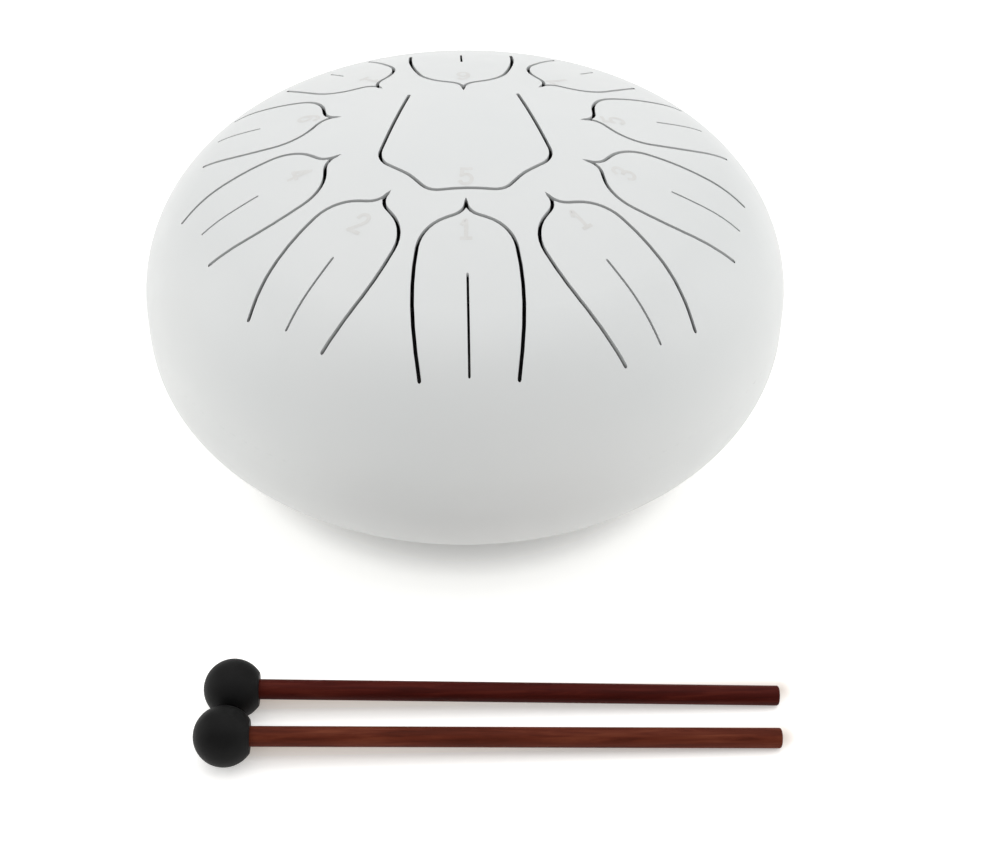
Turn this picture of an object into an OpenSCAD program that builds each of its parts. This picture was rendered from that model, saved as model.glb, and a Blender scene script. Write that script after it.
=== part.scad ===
/* [Drum body] */
// Outer diameter of the drum at its seam
drum_d = 254; // [220:1:290]
// Thickness of the steel sheet of both shells
sheet = 1.8; // [1.2:0.1:2.4]
// Radius of the upper shell's shoulder, in section
upper_shoulder_r = 56; // [52:0.5:60]
// Height of the crown above the level of its shoulder's radius
crown_rise = 15; // [12:0.5:18]
// Straight wall of the upper shell next to the seam
upper_wall = 3; // [1:0.5:5]
// Straight wall of the lower shell next to the seam
lower_wall = 7; // [2:0.5:12]
// Radius of the lower shell's shoulder, in section
lower_shoulder_r = 39; // [30:0.5:45]
// Depth of the lower shell below the seam
lower_depth = 60; // [54:0.5:66]
// Diameter of the flat bottom
floor_d = 136; // [124:1:150]
// Height of the weld bead on the outside
weld_h = 2.4; // [1.6:0.1:3]
// Depth of the weld bead
weld_depth = 1.1; // [0.8:0.1:1.2]
// Diameter of the sound hole in the bottom
sound_hole_d = 50; // [30:1:64]

/* [Tongue slits] */
// Width of the slits round the tongues
slit_w = 1.4; // [1:0.1:2]
// Width of the slit down the middle of a petal
vein_w = 0.9; // [0.7:0.1:1.4]
// Length of the notch at a petal's point, in drum radii
notch_share = 0.0165; // [0.012:0.0005:0.022]
// Radius of the hollow curve beside a petal's point, in drum radii
point_curve_share = 0.054; // [0.048:0.0005:0.06]
// Direction that the hollow curve ends in
point_turn = 68; // [62:1:74]
// Straight run between the hollow curve and the shoulder, in drum radii
brow_share = 0.028; // [0.02:0.0005:0.036]
// Radius of a petal's shoulder, in drum radii
petal_shoulder_share = 0.1315; // [0.12:0.0005:0.142]
// Flare of the petal's sides where the shoulder ends
petal_flare = 9.4; // [7:0.1:12]
// The same for the back petal, which is the shortest
back_flare = 17.1; // [14:0.1:20]

/* [Centre tongue] */
// Distance from the drum's axis back to the ends of the slit, in drum radii
centre_back_share = 0.213; // [0.18:0.001:0.24]
// Half of the width between the ends of the slit, in drum radii
centre_root_share = 0.1668; // [0.14:0.0002:0.19]
// Length of the straight sides, in drum radii
centre_side_share = 0.325; // [0.3:0.0005:0.35]
// Spread of the straight sides
centre_spread = 14.5; // [10:0.1:18]
// Radius of the side corners, in drum radii
centre_corner_share = 0.078; // [0.068:0.0005:0.088]
// Straight run after a side corner, in drum radii
centre_brow_share = 0.057; // [0.047:0.001:0.07]
// Radius of the hollow curve that a petal's point faces, in drum radii
centre_hollow_share = 0.18; // [0.15:0.005:0.22]
// Straight run before a front corner, in drum radii
centre_cheek_share = 0.0436; // [0.032:0.0002:0.055]
// Radius of the front corners, in drum radii
centre_front_share = 0.0585; // [0.05:0.0005:0.066]

/* [Feet] */
// Height of a rubber foot
foot_h = 9; // [7:0.5:12]
// Diameter of a foot where it meets the floor
foot_d = 20; // [18:0.5:24]
// Diameter of a foot where it meets the shell
foot_top_d = 17; // [15:0.5:18]
// Gap between a foot and the edge of the flat bottom
foot_rim_gap = 3; // [1:0.5:10]
// Depth of the recess for the screw's head
foot_recess_h = 5; // [4.6:0.1:5.4]
// Thread diameter of the foot screws
screw_d = 4; // [3.5:0.1:4.5]
// Diameter of a screw's head
screw_head_d = 7.6; // [7:0.1:8]
// Height of a screw's head
screw_head_h = 2.6; // [2:0.1:3]
// Width across the flats of a nut
nut_af = 7; // [6.6:0.1:8]
// Thickness of a nut
nut_h = 3.2; // [2.6:0.1:4]
// Diameter of the washers
washer_d = 9; // [8.5:0.1:9.6]
// Thickness of the washers
washer_h = 0.8; // [0.6:0.1:1]

/* [Mallets] */
// Diameter of a rubber head
head_d = 21.5; // [18:0.1:26]
// Diameter of a wooden stick
stick_d = 7.2; // [6:0.1:9]
// Length of a mallet over all
mallet_len = 206; // [180:1:240]
// Depth of the flat face cut on a head round its stick
head_flat_cut = 1.8; // [1.2:0.1:2.4]
// Depth of the socket in a head
socket_depth = 14; // [10:0.5:15]
// Gap between the drum's front and the far head
mallet_gap = 25; // [12:1:60]
// Gap between the two heads
head_gap = 0.4; // [0.3:0.1:30]
// Distance of the near head to the left of the drum's axis
near_head_left = 87.7; // [70:0.1:100]
// Distance of the far head to the left of the drum's axis
far_head_left = 85.8; // [70:0.1:100]
// Turn of the far stick towards the near one
far_turn = 0.6; // [0:0.1:1]

/* [Hidden] */
$fn = 96;

// Drum body
overrun = 1;
drum_r = drum_d / 2;
seam_z = foot_h + lower_depth;
upper_shoulder_x = drum_r - upper_shoulder_r;
crown_gain = upper_shoulder_r + crown_rise;
upper_rise = upper_wall + crown_gain;
crown_r = (pow(upper_shoulder_x, 2) + pow(crown_gain, 2) - pow(upper_shoulder_r, 2))
    / (2 * crown_rise);
crown_z = upper_rise - crown_r;
crown_slope = atan2(upper_shoulder_x, upper_wall - crown_z);
floor_r = floor_d / 2;
lower_shoulder_x = drum_r - lower_shoulder_r;
lower_flank = [lower_shoulder_x - floor_r, lower_depth - lower_wall];
flank_slope = atan2(lower_flank[1], lower_flank[0]) - asin(lower_shoulder_r / norm(lower_flank));
flank_overlap = 0.01;

// Tongues: petals counted from the front one towards +X, each with its own turn round the drum and lean
petal_count = 10;
petal_step = 360 / petal_count;
front_turn = -90;
back_petal = 5;
point_r_shares = [0.3403, 0.3779, 0.3649, 0.3565, 0.3645, 0.2315, 0.3823, 0.3926, 0.3718, 0.3623];
root_r_shares = [0.8801, 0.8978, 0.8438, 0.7968, 0.6966, 0.632, 0.7154, 0.7973, 0.8384, 0.8628];
root_half_shares = [0.1358, 0.1304, 0.1358, 0.1472, 0.1533, 0.1634, 0.1546, 0.1432, 0.1323, 0.1312];
vein_start_shares = [0.612, 0.658, 0.638, 0.628, 0.62, 0.517, 0.626, 0.662, 0.64, 0.638];
vein_end_shares = [0.88, 0.896, 0.844, 0.788, 0.69, 0.615, 0.7, 0.8, 0.816, 0.856];
petal_turns = [-0.3, 0.3, 1, 0.7, -1.8, 0.2, 1.1, 0.9, 0.7, -0.4];
petal_leans = [0.1, 0, 3.7, 4.2, 2.1, 0.2, -4, 2.1, 3.9, 0.2];
centre_corner_turn = 63.5;
centre_hollow_turn = 12.9;
centre_bow_turn = 5.7;
notch_len = drum_r * notch_share;
point_curve_r = drum_r * point_curve_share;
brow_len = drum_r * brow_share;
petal_shoulder_r = drum_r * petal_shoulder_share;
centre_root_back = drum_r * centre_back_share;
centre_root_half = drum_r * centre_root_share;
centre_side_len = drum_r * centre_side_share;
centre_corner_r = drum_r * centre_corner_share;
centre_brow_len = drum_r * centre_brow_share;
centre_hollow_r = drum_r * centre_hollow_share;
centre_cheek_len = drum_r * centre_cheek_share;
centre_front_r = drum_r * centre_front_share;
half_turn = 180;
chord_gap = 0.06;
end_chords = 4;
slit_base_z = seam_z + upper_wall;
slit_cut_h = upper_rise + overrun;

// Feet and their fasteners
foot_count = 4;
foot_circle_r = floor_r - foot_d / 2 - foot_rim_gap;
foot_first_turn = 45;
recess_margin = 1.2;
hole_clear = 0.25;
thread_clear = 0.05;
recess_d = washer_d + 2 * recess_margin;
screw_hole_d = screw_d + 2 * hole_clear;
shell_floor_top = foot_h + sheet;
foot_washer_z = foot_recess_h - washer_h;
nut_z = shell_floor_top + washer_h;
screw_end_past_nut = 1;
screw_top_z = nut_z + nut_h + screw_end_past_nut;
hex_key_af = 2.5;
hex_key_depth = 1.5;
hex_corner = 1 / cos(30);
hex_sides = 6;
foot_edge_r = 1;

// Mallets
head_r = head_d / 2;
stick_r = stick_d / 2;
head_flat_x = head_r - head_flat_cut;
stick_start_x = head_flat_x - socket_depth;
stick_end_x = mallet_len - head_r;
stick_edge_r = 0.8;
glue_gap = 0.05;
tail_arm = stick_end_x - stick_edge_r;
tail_drop = stick_r - stick_edge_r;
stick_tilt = asin((head_r - stick_edge_r) / norm([tail_arm, tail_drop])) - atan2(tail_drop, tail_arm);
far_head_front = drum_r + mallet_gap + head_r;
near_head_front = far_head_front + head_d + head_gap;

// The set stands on the plane z = 0, centred on its footprint
drum_y = (near_head_front + head_r - drum_r) / 2;

// Colours as in the photographed finish
paint = "white";
bare_steel = "silver";
rubber_black = [0.12, 0.12, 0.12];
far_wood = [0.36, 0.13, 0.1];
near_wood = [0.48, 0.22, 0.14];

// Half section of the upper shell's space, moved in from its outside by inset and reaching below the seam
module dome_section(inset, below) {
    far_x = upper_shoulder_x + drum_r * sin(crown_slope);
    far_y = upper_wall + drum_r * cos(crown_slope);
    translate([0, -below]) square([drum_r - inset, below + upper_wall]);
    intersection() {
        translate([upper_shoulder_x, upper_wall]) circle(upper_shoulder_r - inset);
        translate([0, -below]) square([drum_r, below + upper_rise]);
    }
    intersection() {
        translate([0, crown_z]) circle(crown_r - inset);
        polygon([[0, 0], [upper_shoulder_x, 0], [upper_shoulder_x, upper_wall], [far_x, far_y], [0, far_y]]);
    }
}

// Half section of the lower shell's space, moved in from its outside by inset and reaching above the seam
module bowl_section(inset, above) {
    depth = lower_depth - inset;
    shoulder_r = lower_shoulder_r - inset;
    flank_r = shoulder_r - flank_overlap;
    flank_x = lower_shoulder_x + flank_r * sin(flank_slope);
    flank_y = -lower_wall - flank_r * cos(flank_slope);
    bend_x = floor_r - inset * tan(flank_slope / 2);
    translate([0, -lower_wall]) square([drum_r - inset, lower_wall + above]);
    intersection() {
        translate([lower_shoulder_x, -lower_wall]) circle(shoulder_r);
        translate([0, -depth]) square([drum_r, depth + above]);
    }
    polygon([[0, -depth], [bend_x, -depth], [flank_x, flank_y], [lower_shoulder_x, 0], [0, 0]]);
}

// Triangular bead round the seam, flush with the outside
module bead() {
    translate([0, drum_y, seam_z]) rotate_extrude()
        polygon([[drum_r, -weld_h / 2], [drum_r, weld_h / 2], [drum_r - weld_depth, 0]]);
}

// Number of chords that a bend takes
function bend_chords(r, turn) = ceil(abs(turn) / (2 * acos(1 - chord_gap / r)));

// Where a run goes on after one step, from [place, direction]; a step is [length] or [radius, turn]
function after_step(step, at) =
    let(a = at[1])
    len(step) == 1 ? [at[0] + step[0] * [cos(a), sin(a)], a]
    : [at[0] + sign(step[1]) * step[0] * [sin(a + step[1]) - sin(a), cos(a) - cos(a + step[1])],
        a + step[1]];

// Where a run of steps ends, from [place, direction]
function run_end(steps, at, i = 0) =
    i == len(steps) ? at : run_end(steps, after_step(steps[i], at), i + 1);

// Points along one step, shifted to the left by shift, without the one that it starts at
function step_points(step, at, shift) =
    let(p = at[0], a = at[1])
    len(step) == 1 ? [p + step[0] * [cos(a), sin(a)] + shift * [-sin(a), cos(a)]]
    : let(
        r = step[0],
        side = sign(step[1]),
        chords = bend_chords(r, step[1]),
        middle = p + side * r * [-sin(a), cos(a)]
    )
    [for (i = [1:chords])
        let(b = a + step[1] * i / chords)
        middle + side * (r - side * shift) * [sin(b), -cos(b)]];

// Points along a run of steps, shifted to the left by shift
function run_points(steps, at, shift) = concat(
    [at[0] + shift * [-sin(at[1]), cos(at[1])]],
    [for (i = [0:len(steps) - 1])
        each step_points(steps[i], run_end([for (j = [0:1:i - 1]) steps[j]], at), shift)]);

// Points of a slit's round end between its two edges, clockwise about a place
function end_points(at, w) =
    [for (i = [1:end_chords - 1])
        let(b = at[1] + half_turn / 2 - half_turn * i / end_chords)
        at[0] + w / 2 * [cos(b), sin(b)]];

function reversed(points) = [for (i = [len(points) - 1:-1:0]) points[i]];

// Closes an outline whose points given lie on or above the X axis with their mirror image
module mirrored_outline(points) {
    below = [for (p = reversed(points)) if (p[1] > 0) [p[0], -p[1]]];
    polygon(concat(points, below));
}

// Slit round one petal, its point at the origin and its root along +X, root_half to each side
module petal_slit(root_x, root_half, flare) {
    start = [[notch_len, 0], 0];
    brow = [[point_curve_r, point_turn], [brow_len], [petal_shoulder_r, flare - point_turn]];
    flank = [root_x, root_half] - run_end(brow, start)[0];
    flank_lean = flare - atan2(flank[1], flank[0]);
    flank_r = norm(flank) / (2 * sin(flank_lean));
    steps = concat(brow, [[flank_r, -2 * flank_lean]]);
    petal_tip_x = notch_len + sqrt(pow(point_curve_r + slit_w / 2, 2) - pow(point_curve_r, 2));
    inner = [for (p = run_points(steps, start, -slit_w / 2)) if (p[1] > 0 && p[0] > petal_tip_x) p];
    mirrored_outline(concat(
        [[0, 0]],
        run_points(steps, start, slit_w / 2),
        end_points(run_end(steps, start), slit_w),
        reversed(inner),
        [[petal_tip_x, 0]]));
}

// Straight slit down the middle of a petal
module vein_slit(start_x, end_x) {
    start = [[start_x, 0], half_turn];
    end = [[end_x, 0], 0];
    polygon(concat(
        [[start_x, vein_w / 2], [end_x, vein_w / 2]],
        end_points(end, vein_w),
        [[end_x, -vein_w / 2], [start_x, -vein_w / 2]],
        end_points(start, vein_w)));
}

// Slit round the centre tongue, whose root is behind the drum's axis
module centre_slit() {
    start = [[-centre_root_back, centre_root_half], centre_spread];
    lean = centre_corner_turn - centre_spread - centre_hollow_turn;
    cheek = [[centre_side_len], [centre_corner_r, -centre_corner_turn], [centre_brow_len],
        [centre_hollow_r, centre_hollow_turn], [centre_cheek_len],
        [centre_front_r, lean - 90 - centre_bow_turn]];
    bow_r = run_end(cheek, start)[0][1] / sin(centre_bow_turn);
    steps = concat(cheek, [[bow_r, centre_bow_turn]]);
    outer = run_points(steps, start, slit_w / 2);
    inner = run_points(steps, start, -slit_w / 2);
    mirrored_outline(concat(
        [[outer[len(outer) - 1][0], 0]],
        reversed([for (p = outer) if (p[1] > chord_gap) p]),
        reversed(end_points([start[0], start[1] + half_turn], slit_w)),
        [for (p = inner) if (p[1] > chord_gap) p],
        [[inner[len(inner) - 1][0], 0]]));
}

// All slits, seen from above
module slit_plan() {
    for (i = [0:petal_count - 1]) {
        root = drum_r * root_r_shares[i];
        point = drum_r * point_r_shares[i];
        flare = i == back_petal ? back_flare : petal_flare;
        rotate(front_turn + i * petal_step + petal_turns[i]) translate([root, 0]) rotate(petal_leans[i]) {
            translate([point - root, 0]) petal_slit(root - point, drum_r * root_half_shares[i], flare);
            translate([-root, 0]) vein_slit(drum_r * vein_start_shares[i], drum_r * vein_end_shares[i]);
        }
    }
    rotate(front_turn) centre_slit();
}

// Puts its children at each foot
module at_feet() {
    for (i = [0:foot_count - 1]) {
        at_foot(i) children();
    }
}

// Puts its children at one foot, counted from the back right one towards +Y
module at_foot(i) {
    turn = foot_first_turn + i * 360 / foot_count;
    translate([foot_circle_r * cos(turn), drum_y + foot_circle_r * sin(turn), 0]) children();
}

module upper_shell() {
    color(paint) difference() {
        translate([0, drum_y, seam_z]) rotate_extrude() difference() {
            dome_section(0, 0);
            dome_section(sheet, overrun);
        }
        bead();
        translate([0, drum_y, slit_base_z]) linear_extrude(slit_cut_h) slit_plan();
    }
}

module lower_shell() {
    color(paint) difference() {
        translate([0, drum_y, seam_z]) rotate_extrude() difference() {
            bowl_section(0, 0);
            bowl_section(sheet, overrun);
        }
        bead();
        translate([0, drum_y, foot_h - overrun]) cylinder(d = sound_hole_d, h = sheet + 2 * overrun);
        at_feet() translate([0, 0, foot_h - overrun])
            cylinder(d = screw_hole_d, h = sheet + 2 * overrun);
    }
}

module seam_weld() {
    color(paint) bead();
}

// Rubber foot with a stepped hole for its screw
module foot() {
    color(rubber_black) difference() {
        union() {
            cylinder(d1 = foot_d - 2 * foot_edge_r, d2 = foot_d, h = foot_edge_r);
            translate([0, 0, foot_edge_r])
                cylinder(d1 = foot_d, d2 = foot_top_d, h = foot_h - foot_edge_r);
        }
        translate([0, 0, -overrun]) cylinder(d = recess_d, h = foot_recess_h + overrun);
        cylinder(d = screw_hole_d, h = foot_h + overrun);
    }
}

module foot_back_right() {
    at_foot(0) foot();
}

module foot_back_left() {
    at_foot(1) foot();
}

module foot_front_left() {
    at_foot(2) foot();
}

module foot_front_right() {
    at_foot(3) foot();
}

// Cap screws, head down in the feet, with a hex socket in each head
module foot_screws() {
    head_z = foot_washer_z - screw_head_h;
    color(bare_steel) at_feet() difference() {
        union() {
            translate([0, 0, head_z]) cylinder(d = screw_head_d, h = screw_head_h);
            translate([0, 0, foot_washer_z]) cylinder(d = screw_d, h = screw_top_z - foot_washer_z);
        }
        translate([0, 0, head_z - overrun])
            cylinder(d = hex_key_af * hex_corner, h = hex_key_depth + overrun, $fn = hex_sides);
    }
}

// One washer, lying on its lower face at height z
module washer(z) {
    translate([0, 0, z]) difference() {
        cylinder(d = washer_d, h = washer_h);
        translate([0, 0, -overrun]) cylinder(d = screw_hole_d, h = washer_h + 2 * overrun);
    }
}

module foot_washers() {
    color(bare_steel) at_feet() washer(foot_washer_z);
}

module shell_washers() {
    color(bare_steel) at_feet() washer(shell_floor_top);
}

module foot_nuts() {
    color(bare_steel) at_feet() translate([0, 0, nut_z]) difference() {
        cylinder(d = nut_af * hex_corner, h = nut_h, $fn = hex_sides);
        translate([0, 0, -overrun])
            cylinder(d = screw_d + 2 * thread_clear, h = nut_h + 2 * overrun);
    }
}

// Puts its children on a mallet's axis, the origin at the head's centre and the tail along +X
module at_mallet(left, front, turn) {
    translate([-left, drum_y - front, head_r]) rotate([0, stick_tilt, -turn]) children();
}

module at_near_mallet() {
    at_mallet(near_head_left, near_head_front, 0) children();
}

module at_far_mallet() {
    at_mallet(far_head_left, far_head_front, far_turn) children();
}

// Wooden stick with a rounded tail
module stick() {
    body_len = stick_end_x - stick_start_x - stick_edge_r;
    translate([stick_start_x, 0, 0]) rotate([0, 90, 0]) rotate_extrude() {
        square([stick_r, body_len]);
        square([stick_r - stick_edge_r, body_len + stick_edge_r]);
        translate([stick_r - stick_edge_r, body_len]) circle(stick_edge_r);
    }
}

// Rubber ball with a flat face and a blind socket for the stick
module mallet_head() {
    rotate([0, 90, 0]) rotate_extrude() difference() {
        intersection() {
            circle(head_r);
            translate([0, -head_r]) square([head_r, head_r + head_flat_x]);
        }
        translate([0, stick_start_x - glue_gap])
            square([stick_r + glue_gap, socket_depth + glue_gap + overrun]);
    }
}

module mallet_near_stick() {
    color(near_wood) at_near_mallet() stick();
}

module mallet_near_head() {
    color(rubber_black) at_near_mallet() mallet_head();
}

module mallet_far_stick() {
    color(far_wood) at_far_mallet() stick();
}

module mallet_far_head() {
    color(rubber_black) at_far_mallet() mallet_head();
}

upper_shell();
lower_shell();
seam_weld();
foot_front_left();
foot_front_right();
foot_back_left();
foot_back_right();
foot_screws();
foot_washers();
shell_washers();
foot_nuts();
mallet_near_stick();
mallet_near_head();
mallet_far_stick();
mallet_far_head();
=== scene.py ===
"""Looks of a steel tongue drum with its two mallets, built round the fixed frame, in metres."""
import math

import bmesh
import bpy
from mathutils import Euler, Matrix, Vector


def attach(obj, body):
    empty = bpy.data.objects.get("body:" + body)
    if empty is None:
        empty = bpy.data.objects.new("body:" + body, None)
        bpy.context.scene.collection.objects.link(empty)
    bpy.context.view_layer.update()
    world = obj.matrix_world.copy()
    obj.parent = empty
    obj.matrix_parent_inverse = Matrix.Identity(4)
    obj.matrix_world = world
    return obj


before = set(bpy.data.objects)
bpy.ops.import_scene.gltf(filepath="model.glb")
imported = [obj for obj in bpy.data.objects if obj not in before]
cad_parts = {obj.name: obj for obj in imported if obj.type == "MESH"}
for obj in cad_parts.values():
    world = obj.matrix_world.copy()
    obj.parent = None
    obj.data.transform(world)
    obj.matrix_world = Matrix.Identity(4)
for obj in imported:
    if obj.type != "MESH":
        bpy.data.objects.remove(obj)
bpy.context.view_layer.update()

MM = 0.001

# Camera
CAMERA_AT = (-0.00861, -0.58245, 0.51201)
CAMERA_TURN_DEG = (49.771, -0.330, -1.841)
CAMERA_LENS_MM = 67.54
SENSOR_MM = 36.0
CLIP_NEAR = 0.01
CLIP_FAR = 50.0

# The drum, as in the frame: the upper shell is a flat crown that meets a rounder shoulder
DRUM_Y = 34.2 * MM
DRUM_R = 127.0 * MM
SEAM_Z = 69.0 * MM
UPPER_WALL = 3.0 * MM
SHOULDER_R = 56.0 * MM
CROWN_RISE = 15.0 * MM
SHOULDER_X = DRUM_R - SHOULDER_R
CROWN_GAIN = SHOULDER_R + CROWN_RISE
CROWN_R = (SHOULDER_X ** 2 + CROWN_GAIN ** 2 - SHOULDER_R ** 2) / (2 * CROWN_RISE)
CROWN_Z = UPPER_WALL + CROWN_GAIN - CROWN_R
MEETING_R = CROWN_R * math.sin(math.atan2(SHOULDER_X, UPPER_WALL - CROWN_Z))

# Range that most noise lies in
NOISE_LOW = 0.3
NOISE_HIGH = 0.7

# Paint: colours of the enamel, of the painted shade on the faces inside the drum and of the painted
# shade deep in the slits and on the sound hole's rim
ENAMEL_TONES = ((NOISE_LOW, (0.648, 0.663, 0.661)), (NOISE_HIGH, (0.668, 0.678, 0.674)))
INSIDE_SHADE_COLOUR = (0.13, 0.13, 0.135)
EDGE_SHADE_COLOUR = (0.09, 0.09, 0.09)
# A face is inside where its normal, measured outward, is below this range, and outside above it
INSIDE_FACING = (-0.66, -0.60)
# A face is upright where its normal's height is below this range
UPRIGHT_TILT = (0.12, 0.20)
# Upright faces this far or further from a middle height get painted shade: the slits above, the
# sound hole below
EDGES_MIDDLE_Z = 53.0 * MM
EDGES_FROM = 41.0 * MM
# Depth below the dome's outside over which the painted shade on a slit's edge comes in, from the
# enamel's colour to dark
EDGE_SHADE_DEPTHS = (0.8 * MM, 2.8 * MM)
SATIN_GLOSS = 0.4

# Rubber: tones without and with bloom, roughness, the grain's scale, gloss
FOOT_RUBBER = {"dark": (0.018, 0.018, 0.018), "light": (0.035, 0.034, 0.033),
               "rough": (0.60, 0.75), "grain": 900.0, "gloss": 0.35}
HEAD_RUBBER = {"dark": (0.005, 0.005, 0.005), "light": (0.009, 0.009, 0.009),
               "rough": (0.46, 0.58), "grain": 1300.0, "gloss": 0.09}

# Fasteners: zinc tones, and the stretch of their streaks
ZINC_TONES = ((NOISE_LOW, (0.50, 0.51, 0.52)), (NOISE_HIGH, (0.66, 0.67, 0.69)))
STREAK_STRETCH = (1.0, 1.0, 6.0)

# Wood: dark, middle and light tones, and a shift that gives each stick its own grain
NEAR_TONES = ((0.36, (0.052, 0.009, 0.004)), (0.50, (0.094, 0.017, 0.008)),
              (0.64, (0.145, 0.034, 0.016)))
NEAR_SHIFT = (3.1, 7.7, 1.3)
FAR_TONES = ((0.36, (0.036, 0.004, 0.0025)), (0.50, (0.060, 0.0065, 0.004)),
             (0.64, (0.092, 0.014, 0.008)))
FAR_SHIFT = (9.4, 2.2, 5.9)
GRAIN_STRETCH = (9.0, 150.0, 150.0)
PATCH_STRETCH = (14.0, 40.0, 40.0)
PORE_STRETCH = (60.0, 1500.0, 1500.0)
PATCH_SHARE = 0.35
WOOD_GLOSS = 0.06

# Numbers on the tongues: strokes in shares of the digit's height, from its lower left corner
INK_TONES = ((NOISE_LOW, (0.600, 0.596, 0.580)), (NOISE_HIGH, (0.640, 0.640, 0.630)))
DIGIT_HEIGHT = 8.2 * MM
DIGIT_MIDDLE = (0.3, 0.5)
STROKE_WIDTH = 1.5 * MM
INK_LIFT = 0.03 * MM
# Each further stroke of a digit lies higher by this share of the lift
STROKE_LIFT = 0.2
CURVE_STEPS = 6
DIGIT_STROKES = {
    "1": [[(0.14, 0.80), (0.30, 1.0), (0.30, 0.0)], [(0.12, 0.0), (0.48, 0.0)]],
    "2": [[(0.06, 0.76), (0.12, 0.93), (0.30, 1.0), (0.48, 0.92), (0.53, 0.73), (0.45, 0.52),
           (0.06, 0.0)],
          [(0.06, 0.0), (0.56, 0.0)]],
    "3": [[(0.06, 0.84), (0.15, 0.97), (0.32, 1.0), (0.48, 0.90), (0.50, 0.72), (0.40, 0.57),
           (0.24, 0.53)],
          [(0.24, 0.53), (0.43, 0.48), (0.54, 0.31), (0.49, 0.10), (0.31, 0.0), (0.13, 0.03),
           (0.04, 0.16)]],
    "4": [[(0.43, 0.0), (0.43, 1.0)], [(0.43, 1.0), (0.03, 0.30)], [(0.03, 0.30), (0.58, 0.30)]],
    "5": [[(0.51, 1.0), (0.13, 1.0)], [(0.13, 1.0), (0.09, 0.56)],
          [(0.09, 0.56), (0.26, 0.63), (0.45, 0.56), (0.54, 0.33), (0.46, 0.09), (0.28, 0.0),
           (0.11, 0.03), (0.03, 0.15)]],
    "6": [[(0.50, 0.88), (0.38, 0.99), (0.22, 0.94), (0.09, 0.72), (0.05, 0.40), (0.10, 0.12),
           (0.28, 0.0), (0.46, 0.07), (0.54, 0.29), (0.47, 0.50), (0.30, 0.58), (0.13, 0.48),
           (0.06, 0.32)]],
    "7": [[(0.04, 1.0), (0.54, 1.0)], [(0.54, 1.0), (0.34, 0.54), (0.22, 0.0)]],
}
# Digit, turn round the drum from the front towards +X, distance from the axis in drum radii
TONGUE_DIGITS = (
    ("5", 0.0, 0.2525),
    ("1", -0.6, 0.462),
    ("1", 38.8, 0.511),
    ("3", 70.2, 0.494),
    ("5", 105.1, 0.471),
    ("7", 140.5, 0.471),
    ("6", 179.8, 0.356),
    ("1", 216.8, 0.488),
    ("6", 250.6, 0.503),
    ("4", 286.3, 0.510),
    ("2", 323.1, 0.507),
)

# Lights: name, place, point aimed at, size, watts
PANELS = (
    ("top_panel", (0.0, 0.25, 1.7), (0.0, 0.05, 0.0), (2.6, 2.2), 20.8),
    ("left_panel", (-1.5, 0.1, 0.7), (0.0, 0.03, 0.08), (1.2, 1.0), 5.5),
    ("right_panel", (1.5, 0.1, 0.7), (0.0, 0.03, 0.08), (1.2, 1.0), 5.9),
    ("back_panel", (0.0, 1.6, 0.8), (0.0, 0.05, 0.1), (2.0, 1.0), 3.5),
)
WHITE = (1.0, 1.0, 1.0, 1.0)
WORLD_LEVEL = 0.523
BACKDROP_LEVEL = 1.0

# Floor: its glow as light and as seen by the camera
FLOOR_SIZE = 8.0
FLOOR_TONES = ((NOISE_LOW, (0.93, 0.93, 0.925)), (NOISE_HIGH, (0.94, 0.94, 0.94)))
FLOOR_GLOW = 0.3
FLOOR_SEEN_GLOW = 0.45
# Painted shade in the floor's colour close under the drum: share of the way between the two radii,
# tone
SHADE_FROM_R = 45.0 * MM
SHADE_TO_R = 105.0 * MM
SHADE_TONES = ((0.0, 0.02), (0.58, 0.578), (0.68, 0.672), (0.76, 0.776), (0.84, 0.898),
               (0.9, 0.982), (1.0, 1.0))
SHADE_TINT = (1.0, 0.995, 0.98)
# Painted shadow in the floor's colour under the mallets, by distance from the line under a stick;
# it stays on the floor when the mallets are lifted
STICK_HALF_LEN = 96.0 * MM
STICK_MIDDLES = ((14.5 * MM, -124.6 * MM, 0.0), (12.5 * MM, -146.4 * MM, 0.0))
STICK_SHADE_R = 11.0 * MM
STICK_SHADE_TONES = ((0.0, (0.52, 0.46, 0.42)), (0.3, (0.70, 0.66, 0.63)), (0.6, (0.92, 0.91, 0.90)),
               (1.0, (1.0, 1.0, 1.0)))


def shader(name):
    """A new material with its node tree and its main shader."""
    material = bpy.data.materials.new(name)
    material.use_nodes = True
    tree = material.node_tree
    return material, tree, tree.nodes["Principled BSDF"]


def feed(tree, node, inputs):
    """Fills a node's inputs, by name or number: a socket is linked, the rest are plain values."""
    for key, term in inputs.items():
        if isinstance(term, bpy.types.NodeSocket):
            tree.links.new(term, node.inputs[key])
        else:
            node.inputs[key].default_value = term


def new_node(tree, kind, inputs, output, **settings):
    """Adds a node with its settings and inputs, and gives the output that is named."""
    node = tree.nodes.new(kind)
    for setting, value in settings.items():
        setattr(node, setting, value)
    feed(tree, node, inputs)
    return node.outputs[output]


def place_input(tree, scale=(1.0, 1.0, 1.0)):
    """The object's own coordinates, stretched by scale."""
    coordinates = tree.nodes.new("ShaderNodeTexCoord").outputs["Object"]
    return new_node(tree, "ShaderNodeMapping", {"Vector": coordinates, "Scale": scale}, "Vector")


def noise(tree, where, scale, detail, roughness=0.5, distortion=0.0):
    """Cloudy noise round a half."""
    inputs = {"Vector": where, "Scale": scale, "Detail": detail, "Roughness": roughness,
              "Distortion": distortion}
    return new_node(tree, "ShaderNodeTexNoise", inputs, "Fac")


def ramp(tree, value, stops):
    """Colours between (position, colour) stops."""
    node = tree.nodes.new("ShaderNodeValToRGB")
    elements = node.color_ramp.elements
    elements[0].position, elements[1].position = stops[0][0], stops[-1][0]
    for position, _ in stops[1:-1]:
        elements.new(position)
    for element, (_, colour) in zip(elements, stops):
        element.color = (*colour, 1.0)
    tree.links.new(value, node.inputs["Fac"])
    return node.outputs["Color"]


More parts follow.
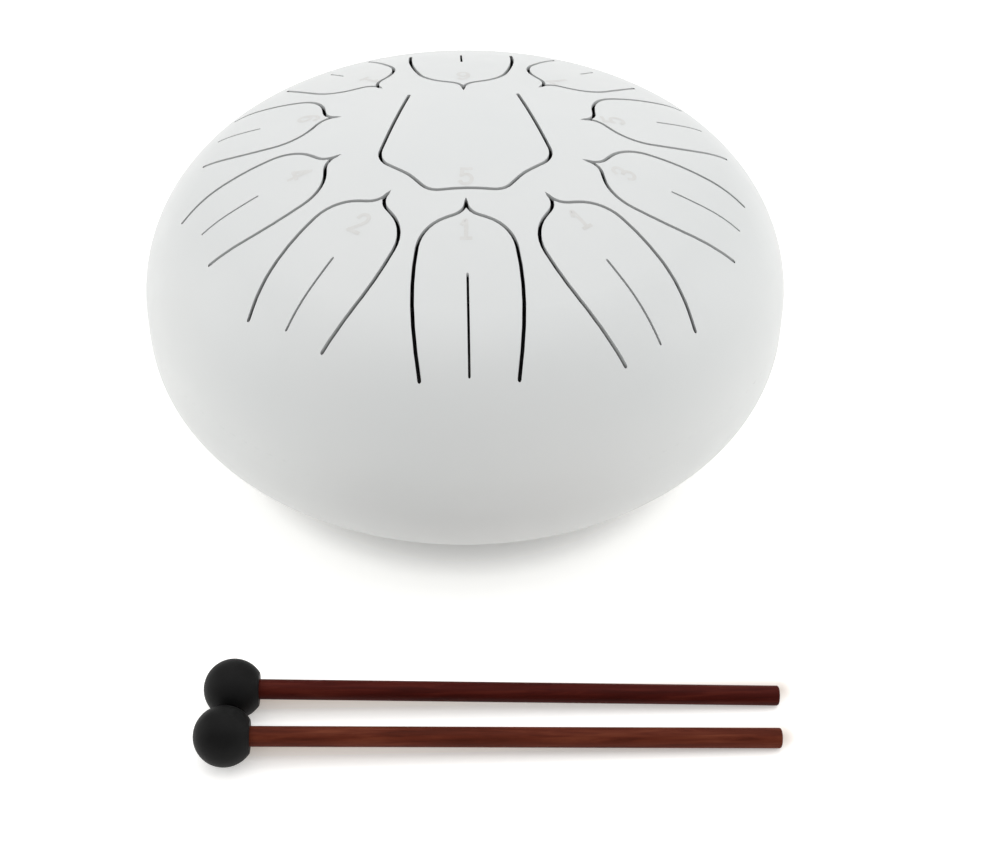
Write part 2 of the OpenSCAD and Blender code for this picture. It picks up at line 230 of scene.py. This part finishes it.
def between(tree, value, low, high, start=NOISE_LOW, end=NOISE_HIGH):
    """Maps a value from start to end onto the range low to high, and keeps it within that."""
    inputs = {"Value": value, "From Min": start, "From Max": end, "To Min": low, "To Max": high}
    return new_node(tree, "ShaderNodeMapRange", inputs, "Result")


def bump(tree, height, strength, distance, over=None):
    """A normal with a height's relief, on top of another normal where one is given."""
    inputs = {"Strength": strength, "Distance": distance, "Height": height}
    if over is not None:
        inputs["Normal"] = over
    return new_node(tree, "ShaderNodeBump", inputs, "Normal")


def blend_colour(tree, share, base, over):
    """The colour base with the plain colour over laid on it by share."""
    inputs = {"Factor": share, "A": base, "B": (*over, 1.0)}
    return new_node(tree, "ShaderNodeMix", inputs, "Result", data_type="RGBA")


def calc(tree, operation, *terms):
    """A number node's output; each term is a socket or a plain number."""
    return new_node(tree, "ShaderNodeMath", dict(enumerate(terms)), "Value", operation=operation)


def vector_math(tree, operation, *terms):
    """A vector node's output; each term is a socket or a plain vector."""
    output = "Value" if operation in ("DOT_PRODUCT", "DISTANCE") else "Vector"
    return new_node(tree, "ShaderNodeVectorMath", dict(enumerate(terms)), output,
                    operation=operation)


def split(tree, vector):
    """The X, Y and Z outputs of a vector."""
    node = tree.nodes.new("ShaderNodeSeparateXYZ")
    tree.links.new(vector, node.inputs["Vector"])
    return node.outputs["X"], node.outputs["Y"], node.outputs["Z"]


def hypotenuse(tree, a, b):
    """The length of the slope whose two sides at right angles are a and b."""
    squares = calc(tree, "ADD", calc(tree, "MULTIPLY", a, a), calc(tree, "MULTIPLY", b, b))
    return calc(tree, "SQRT", squares)


def camera_ray(tree):
    """1 for what the camera sees directly, 0 for light between surfaces."""
    return tree.nodes.new("ShaderNodeLightPath").outputs["Is Camera Ray"]


def depth_in_dome(tree, where):
    """How deep a place lies below the upper shell's outside."""
    x, y, z = split(tree, where)
    reach = hypotenuse(tree, x, calc(tree, "SUBTRACT", y, DRUM_Y))
    to_crown = vector_math(tree, "DISTANCE", where, (0.0, DRUM_Y, SEAM_Z + CROWN_Z))
    to_shoulder = hypotenuse(tree, calc(tree, "SUBTRACT", reach, SHOULDER_X),
                             calc(tree, "SUBTRACT", z, SEAM_Z + UPPER_WALL))
    below_crown = calc(tree, "SUBTRACT", CROWN_R, to_crown)
    below_shoulder = calc(tree, "SUBTRACT", SHOULDER_R, to_shoulder)
    outer = calc(tree, "GREATER_THAN", reach, MEETING_R)
    step = calc(tree, "SUBTRACT", below_shoulder, below_crown)
    return calc(tree, "MULTIPLY_ADD", outer, step, below_crown)


def paint_material():
    """Satin white enamel, also a little way down the slits' edges; faces that look into the drum,
    the slits' depths and the sound hole's rim get a dark colour, painted shade.
    """
    material, tree, main = shader("white_enamel")
    where = place_input(tree)
    normal = tree.nodes.new("ShaderNodeNewGeometry").outputs["True Normal"]
    from_middle = vector_math(tree, "SUBTRACT", where, (0.0, DRUM_Y, SEAM_Z))
    facing = vector_math(tree, "DOT_PRODUCT", normal, vector_math(tree, "NORMALIZE", from_middle))
    # Painted shade: faces that look into the drum take a dark colour
    inside_shade = between(tree, facing, 1.0, 0.0, *INSIDE_FACING)
    tilt = calc(tree, "ABSOLUTE", split(tree, normal)[2])
    upright = between(tree, tilt, 1.0, 0.0, *UPRIGHT_TILT)
    height = split(tree, where)[2]
    off_middle = calc(tree, "ABSOLUTE", calc(tree, "SUBTRACT", height, EDGES_MIDDLE_Z))
    # Painted shade: upright faces deep in the slits and on the sound hole's rim take a dark colour
    cut = calc(tree, "GREATER_THAN", off_middle, EDGES_FROM)
    deep = between(tree, depth_in_dome(tree, where), 0.0, 1.0, *EDGE_SHADE_DEPTHS)
    edge_shade = calc(tree, "MULTIPLY", deep, calc(tree, "MULTIPLY", upright, cut))

    slow = noise(tree, where, scale=14.0, detail=2.0)
    colour = ramp(tree, slow, ENAMEL_TONES)
    # Painted shade on the faces that look into the drum
    colour = blend_colour(tree, inside_shade, colour, INSIDE_SHADE_COLOUR)
    # Painted shade on the slits' depths and the sound hole's rim
    colour = blend_colour(tree, edge_shade, colour, EDGE_SHADE_COLOUR)
    fine = noise(tree, where, scale=90.0, detail=4.0)
    peel = noise(tree, where, scale=520.0, detail=2.0)
    waves = bump(tree, slow, strength=0.25, distance=0.6 * MM)
    feed(tree, main, {
        "Base Color": colour,
        "Roughness": between(tree, fine, low=0.38, high=0.50),
        "Normal": bump(tree, peel, strength=0.12, distance=0.06 * MM, over=waves),
        "Specular IOR Level": SATIN_GLOSS,
    })
    return material


def rubber_material(name, dark, light, rough, grain, gloss):
    """Moulded rubber: fine grain, faint bloom."""
    material, tree, main = shader(name)
    where = place_input(tree)
    bloom = noise(tree, where, scale=60.0, detail=4.0, roughness=0.6)
    pits = noise(tree, where, scale=grain, detail=3.0, roughness=0.6)
    feed(tree, main, {
        "Base Color": ramp(tree, bloom, ((0.35, dark), (NOISE_HIGH, light))),
        "Roughness": between(tree, bloom, *rough),
        "Normal": bump(tree, pits, strength=0.35, distance=0.12 * MM),
        "Specular IOR Level": gloss,
    })
    return material


def steel_material():
    """Zinc-plated steel with a dull, slightly streaked face."""
    material, tree, main = shader("zinc_steel")
    where = place_input(tree, STREAK_STRETCH)
    streaks = noise(tree, where, scale=420.0, detail=4.0, roughness=0.6)
    feed(tree, main, {
        "Base Color": ramp(tree, streaks, ZINC_TONES),
        "Roughness": between(tree, streaks, low=0.26, high=0.42),
        "Normal": bump(tree, streaks, strength=0.2, distance=0.03 * MM),
        "Metallic": 1.0,
    })
    return material


def wood_material(name, tones, shift):
    """Stained hardwood with its grain along the stick."""
    material, tree, main = shader(name)
    along = vector_math(tree, "ADD", place_input(tree, GRAIN_STRETCH), shift)
    grain = noise(tree, along, scale=3.2, detail=8.0, roughness=0.62, distortion=0.5)
    patches = noise(tree, place_input(tree, PATCH_STRETCH), scale=1.6, detail=3.0)
    figure = new_node(tree, "ShaderNodeMix", {"Factor": PATCH_SHARE, "A": grain, "B": patches},
                      "Result", data_type="FLOAT")
    pores = noise(tree, place_input(tree, PORE_STRETCH), scale=1.0, detail=3.0, roughness=0.6)
    feed(tree, main, {
        "Base Color": ramp(tree, figure, tones),
        "Roughness": between(tree, pores, low=0.40, high=0.56),
        "Normal": bump(tree, pores, strength=0.5, distance=0.12 * MM),
        "Specular IOR Level": WOOD_GLOSS,
    })
    return material


def ink_material():
    """Faint warm-grey ink, worn unevenly, under the same satin gloss as the paint."""
    material, tree, main = shader("number_ink")
    worn = noise(tree, place_input(tree), scale=420.0, detail=3.0)
    feed(tree, main, {
        "Base Color": ramp(tree, worn, INK_TONES),
        "Roughness": between(tree, worn, low=0.42, high=0.55),
        "Normal": bump(tree, worn, strength=0.15, distance=0.03 * MM),
        "Specular IOR Level": SATIN_GLOSS,
    })
    return material


def dress(names, material):
    """Gives nodes of the frame their material."""
    for name in names:
        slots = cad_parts[name].data.materials
        slots.clear()
        slots.append(material)


def add_object(name, data):
    """A new object in the scene."""
    made = bpy.data.objects.new(name, data)
    bpy.context.scene.collection.objects.link(made)
    return made


def dome_height(r):
    """Height of the upper shell's outside at a distance from the drum's axis."""
    if r <= MEETING_R:
        return SEAM_Z + CROWN_Z + math.sqrt(CROWN_R ** 2 - r ** 2)
    return SEAM_Z + UPPER_WALL + math.sqrt(SHOULDER_R ** 2 - (r - SHOULDER_X) ** 2)


def rounded(points):
    """A smooth run through the points; a run of two points stays straight."""
    if len(points) == 2:
        a, b = Vector(points[0]), Vector(points[1])
        return [a.lerp(b, i / (2 * CURVE_STEPS)) for i in range(2 * CURVE_STEPS + 1)]
    p = [Vector(q) for q in points]
    p = [2 * p[0] - p[1]] + p + [2 * p[-1] - p[-2]]
    run = []
    for a, b, c, d in zip(p, p[1:], p[2:], p[3:]):
        for i in range(CURVE_STEPS):
            t = i / CURVE_STEPS
            run.append(0.5 * (2 * b + (c - a) * t + (2 * a - 5 * b + 4 * c - d) * t ** 2
                              + (3 * b - a - 3 * c + d) * t ** 3))
    return run + [p[-2]]


def add_stroke(mesh, points, to_dome):
    """One ribbon of ink along a run of points in the digit's plane, laid on the dome."""
    half = STROKE_WIDTH / DIGIT_HEIGHT / 2
    rows = []
    for i, point in enumerate(points):
        ahead = (points[min(i + 1, len(points) - 1)] - points[max(i - 1, 0)]).normalized()
        side = Vector((-ahead.y, ahead.x)) * half
        # Both ends of the ribbon reach half its width past the run
        past_end = ahead * half * ((i == len(points) - 1) - (i == 0))
        rows.append([mesh.verts.new(to_dome(point + past_end + side * share))
                     for share in (-1, 0, 1)])
    for before, after in zip(rows, rows[1:]):
        for k in range(2):
            mesh.faces.new((before[k], after[k], after[k + 1], before[k + 1]))


def tongue_numbers(material):
    """The tongues' numbers, thin ink on the dome, upright to a player in front of each tongue."""
    mesh = bmesh.new()
    axis = Vector((0.0, DRUM_Y))
    for digit, turn_deg, share in TONGUE_DIGITS:
        turn = math.radians(turn_deg - 90)
        out = Vector((math.cos(turn), math.sin(turn)))
        right = Vector((-out.y, out.x))
        middle = axis + out * share * DRUM_R
        for layer, stroke in enumerate(DIGIT_STROKES[digit]):
            lift = INK_LIFT * (1 + STROKE_LIFT * layer)

            def to_dome(point):
                across = (point.x - DIGIT_MIDDLE[0]) * DIGIT_HEIGHT
                up = (point.y - DIGIT_MIDDLE[1]) * DIGIT_HEIGHT
                flat = middle + across * right - up * out
                return (flat.x, flat.y, dome_height((flat - axis).length) + lift)

            add_stroke(mesh, rounded(stroke), to_dome)
    bmesh.ops.recalc_face_normals(mesh, faces=mesh.faces)
    for face in mesh.faces:
        if face.normal.z < 0:
            face.normal_flip()
        face.smooth = True
    data = bpy.data.meshes.new("tongue_numbers")
    mesh.to_mesh(data)
    mesh.free()
    data.materials.append(material)
    piece = add_object("tongue_numbers", data)
    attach(piece, "drum")


def floor_piece():
    """A white studio floor with a faint glow, so that little real shade shows on it; painted shade
    is laid into its colour close under the drum and under the mallets' sticks.
    """
    material, tree, main = shader("floor_white")
    where = place_input(tree)
    plain = ramp(tree, noise(tree, where, scale=3.0, detail=2.0), FLOOR_TONES)
    # Painted shade: the floor's colour darkens towards the drum's axis
    reach = vector_math(tree, "DISTANCE", where, (0.0, DRUM_Y, 0.0))
    shade = ramp(tree, between(tree, reach, 0.0, 1.0, SHADE_FROM_R, SHADE_TO_R),
                 [(at, [tone * tint for tint in SHADE_TINT]) for at, tone in SHADE_TONES])
    shaded = vector_math(tree, "MULTIPLY", plain, shade)
    # Painted shadow under each mallet's stick
    for middle in STICK_MIDDLES:
        x, y, _ = split(tree, vector_math(tree, "SUBTRACT", where, middle))
        past = calc(tree, "SUBTRACT", calc(tree, "ABSOLUTE", x), STICK_HALF_LEN)
        reach = hypotenuse(tree, calc(tree, "MAXIMUM", past, 0.0), y)
        shade = ramp(tree, calc(tree, "DIVIDE", reach, STICK_SHADE_R), STICK_SHADE_TONES)
        shaded = vector_math(tree, "MULTIPLY", shaded, shade)
    feed(tree, main, {
        "Base Color": shaded,
        "Emission Color": shaded,
        "Emission Strength": between(tree, camera_ray(tree), FLOOR_GLOW, FLOOR_SEEN_GLOW, 0.0, 1.0),
        "Roughness": 0.9,
        "Specular IOR Level": 0.1,
    })

    mesh = bpy.data.meshes.new("floor")
    half = FLOOR_SIZE / 2
    corners = [(-half, -half, 0), (half, -half, 0), (half, half, 0), (-half, half, 0)]
    mesh.from_pydata(corners, [], [(0, 1, 2, 3)])
    mesh.materials.append(material)
    floor = add_object("floor", mesh)


def soft_panel(name, at, aim, size, power):
    """A rectangular area light at a place, facing another."""
    data = bpy.data.lights.new(name, "AREA")
    data.shape = "RECTANGLE"
    data.size, data.size_y = size
    data.energy = power
    light = add_object(name, data)
    light.location = at
    light.rotation_mode = "QUATERNION"
    light.rotation_quaternion = (Vector(aim) - Vector(at)).to_track_quat("-Z", "Y")


def studio_world():
    """Even light all round, and a white backdrop for the camera."""
    world = bpy.data.worlds.new("studio")
    bpy.context.scene.world = world
    world.use_nodes = True
    tree = world.node_tree
    background = tree.nodes["Background"]
    feed(tree, background, {"Color": WHITE, "Strength": WORLD_LEVEL})
    seen = new_node(tree, "ShaderNodeBackground", {"Color": WHITE, "Strength": BACKDROP_LEVEL},
                    "Background")
    inputs = {"Fac": camera_ray(tree), 1: background.outputs["Background"], 2: seen}
    mix = new_node(tree, "ShaderNodeMixShader", inputs, "Shader")
    feed(tree, tree.nodes["World Output"], {"Surface": mix})


def camera():
    """The camera, in the place that the photograph was taken from."""
    data = bpy.data.cameras.new("camera")
    data.sensor_width = SENSOR_MM
    data.lens = CAMERA_LENS_MM
    data.clip_start = CLIP_NEAR
    data.clip_end = CLIP_FAR
    made = add_object("camera", data)
    made.location = CAMERA_AT
    made.rotation_euler = Euler([math.radians(a) for a in CAMERA_TURN_DEG])
    bpy.context.scene.camera = made


camera()

dress(["upper_shell", "lower_shell", "seam_weld"], paint_material())
dress(["foot_front_left", "foot_front_right", "foot_back_left", "foot_back_right"],
      rubber_material("foot_rubber_black", **FOOT_RUBBER))
dress(["foot_screws", "foot_washers", "shell_washers", "foot_nuts"], steel_material())
dress(["mallet_near_stick"], wood_material("near_wood_stain", NEAR_TONES, NEAR_SHIFT))
dress(["mallet_far_stick"], wood_material("far_wood_stain", FAR_TONES, FAR_SHIFT))
dress(["mallet_near_head", "mallet_far_head"], rubber_material("head_rubber_black", **HEAD_RUBBER))
tongue_numbers(ink_material())

floor_piece()
studio_world()
for panel in PANELS:
    soft_panel(*panel)
bpy.context.scene.view_settings.view_transform = "Standard"
